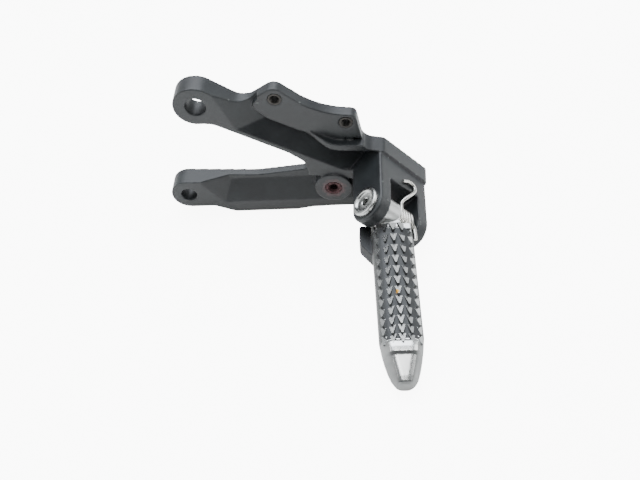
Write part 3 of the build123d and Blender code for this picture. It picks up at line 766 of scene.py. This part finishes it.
count = sum_node("MULTIPLY", given["Rows"], given["Columns"])
places = add_node(rows_tree, "GeometryNodePoints", links={"Count": count})
index = add_node(rows_tree, "GeometryNodeInputIndex").outputs[0]
row = sum_node("FLOOR", sum_node("DIVIDE", sum_node("ADD", index, 0.5), given["Columns"]))
column = sum_node("SUBTRACT", index, sum_node("MULTIPLY", row, given["Columns"]))
middle = sum_node("MULTIPLY", sum_node("SUBTRACT", given["Columns"], 1.0), 0.5)
arc = sum_node("MULTIPLY", sum_node("SUBTRACT", column, middle), given["Column Pitch"])
turn = sum_node("DIVIDE", arc, given["Arch Radius"])
side = sum_node("MULTIPLY", sum_node("SINE", turn), given["Arch Radius"])
drop = sum_node("SUBTRACT", sum_node("COSINE", turn), 1.0)
height = sum_node("MULTIPLY_ADD", drop, given["Arch Radius"], given["Top"])
pairs = sum_node("MULTIPLY", sum_node("MULTIPLY", row, sum_node("SUBTRACT", row, 1.0)), 0.5)
shift = sum_node("SUBTRACT", row, sum_node("MULTIPLY", pairs, given["Crowding"]))
out = sum_node("MULTIPLY_ADD", shift, given["Pitch"], given["Start"])
spot = add_node(rows_tree, "ShaderNodeCombineXYZ", links={0: side, 1: out, 2: height})
placed = add_node(
    rows_tree, "GeometryNodeSetPosition", links={"Geometry": places.outputs[0], "Position": spot.outputs[0]}
)
shape = add_node(rows_tree, "GeometryNodeObjectInfo", links={"Object": given["Tooth"]})
lean = add_node(rows_tree, "ShaderNodeCombineXYZ", links={1: turn})
lean = add_node(rows_tree, "FunctionNodeEulerToRotation", links={0: lean.outputs[0]})
stood = add_node(
    rows_tree, "GeometryNodeInstanceOnPoints",
    links={"Points": placed.outputs[0], "Instance": shape.outputs["Geometry"], "Rotation": lean.outputs[0]},
)
solid = add_node(rows_tree, "GeometryNodeRealizeInstances", links={0: stood.outputs[0]})
coated = add_node(
    rows_tree, "GeometryNodeSetMaterial", links={"Geometry": solid.outputs[0], "Material": given["Metal"]}
)
add_node(rows_tree, "NodeGroupOutput", links={0: coated.outputs[0]})

# bare cast aluminium: bright where boots wear it, dark with dirt in the grooves, fine cast pitting,
# and a dab of yellow paint on one tooth. Faces are also painted lighter and darker by how they look
# to the light: a painted highlight on tooth tops, collar and nose, painted shade on the heel and on
# sides that face away
PAINT_DAB = peg_point(-1.0, 8.2, 51.5)
PAINT_R = 1.3 * MM
peg_material, tree, shader = new_material("bare_cast_aluminium", 0.34, 1.0)
coords = add_node(tree, "ShaderNodeTexCoord")
point = coords.outputs["Object"]
pitting = noise(tree, point, 1 / (0.5 * MM), 3.0)
scuffs = noise(tree, point, 1 / (5 * MM), 5.0)
clean = mixed(tree, scuffs.outputs["Fac"], linear(PEG_DARK), linear(PEG_LIGHT))
# a per-face level that paints wear and dirt, and with them painted light and shade by which way a face looks
bare_and_lit = add_node(tree, "ShaderNodeAttribute", {"attribute_name": "bare_and_lit"})
metal = mixed(tree, bare_and_lit.outputs["Fac"], linear(PEG_GRIME_AND_SHADE), clean.outputs[2])
from_dab = add_node(tree, "ShaderNodeVectorMath", {"operation": "DISTANCE"}, {0: point, 1: PAINT_DAB})
dab = mapped(tree, from_dab.outputs["Value"], (PAINT_R * 0.8, PAINT_R), (1.0, 0.0))
painted = mixed(tree, dab.outputs["Result"], metal.outputs[2], linear(PAINT))
bare_share = maths(tree, "SUBTRACT", 1.0, dab.outputs["Result"])
metal_roughness = mapped(tree, bare_and_lit.outputs["Fac"], wanted=(0.55, 0.27))
pit_bump = bumped(tree, pitting.outputs["Fac"], 0.2, 0.05 * MM)
tree.links.new(painted.outputs[2], shader.inputs["Base Color"])
tree.links.new(bare_share, shader.inputs["Metallic"])
tree.links.new(metal_roughness.outputs["Result"], shader.inputs["Roughness"])
tree.links.new(pit_bump.outputs["Normal"], shader.inputs["Normal"])

teeth = new_object("teeth", bpy.data.meshes.new("teeth"))
grid = teeth.modifiers.new("rows", "NODES")
grid.node_group = rows_tree
for name, kind, value in ROW_INPUTS:
    grid[sockets[name].identifier] = peg_material if name == "Metal" else value
teeth_mesh = settle(teeth)
peg_axes = Matrix((SIDE_DIR, PEG_DIR, UP_DIR)).transposed()
teeth_mesh.transform(Matrix.Translation(PIN_CENTRE * MM) @ peg_axes.to_4x4())
tidy_normals(teeth_mesh, math.radians(20))
bpy.data.objects.remove(tooth)

# How bare and how lit each face is painted, from 0 for dirt and painted shade to 1 for bare metal
# with a painted highlight: tooth tops, collar, nose and hub are bare and painted light, the grooves
# hold dirt and painted shade, and the heel and the sides facing away get painted shade.
COLLAR_FROM, HEEL_SIDE, ROOT_TO = 77.0, -10.8, 12.2  # out, side, out, in the peg's own frame
TOOTH_UP, NOSE_UP, TREAD_UP = 0.6, 0.8, 0.75  # a face that leans less than this counts as a top
# levels under 1 darken a face: dirt in the grooves, and painted shade on sides, nose sides and heel
TOOTH_SIDES, NOSE_SIDES, TREAD, SIDES = 0.12, 0.36, 0.08, 0.18
HEEL, ROOT = 0.05, 0.85


def wear_and_light_level(on_teeth, facing_up, side, out):
    """Bare, painted-light share of a face of the peg or its teeth; the rest is dirt and painted shade."""
    if on_teeth:
        return 1.0 if facing_up > TOOTH_UP else TOOTH_SIDES
    if out > COLLAR_FROM:
        return 1.0 if facing_up > NOSE_UP else NOSE_SIDES
    if side < HEEL_SIDE:
        return HEEL
    if out < ROOT_TO:
        return ROOT
    return TREAD if facing_up > TREAD_UP else SIDES


# each face gets its painted level of bare metal, dirt, painted highlight and painted shade
for piece in (peg, teeth):
    grime_and_light_layer = piece.data.attributes.new("bare_and_lit", "FLOAT", "FACE")
    for face in piece.data.polygons:
        from_pin = face.center / MM - PIN_CENTRE
        grime_and_light_layer.data[face.index].value = wear_and_light_level(
            piece is teeth, face.normal.dot(UP_DIR), from_pin.dot(SIDE_DIR), from_pin.dot(PEG_DIR)
        )

peg.data.materials.clear()
peg.data.materials.append(peg_material)
for piece in (peg, teeth):
    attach(piece, "peg")
    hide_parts("peg_body")
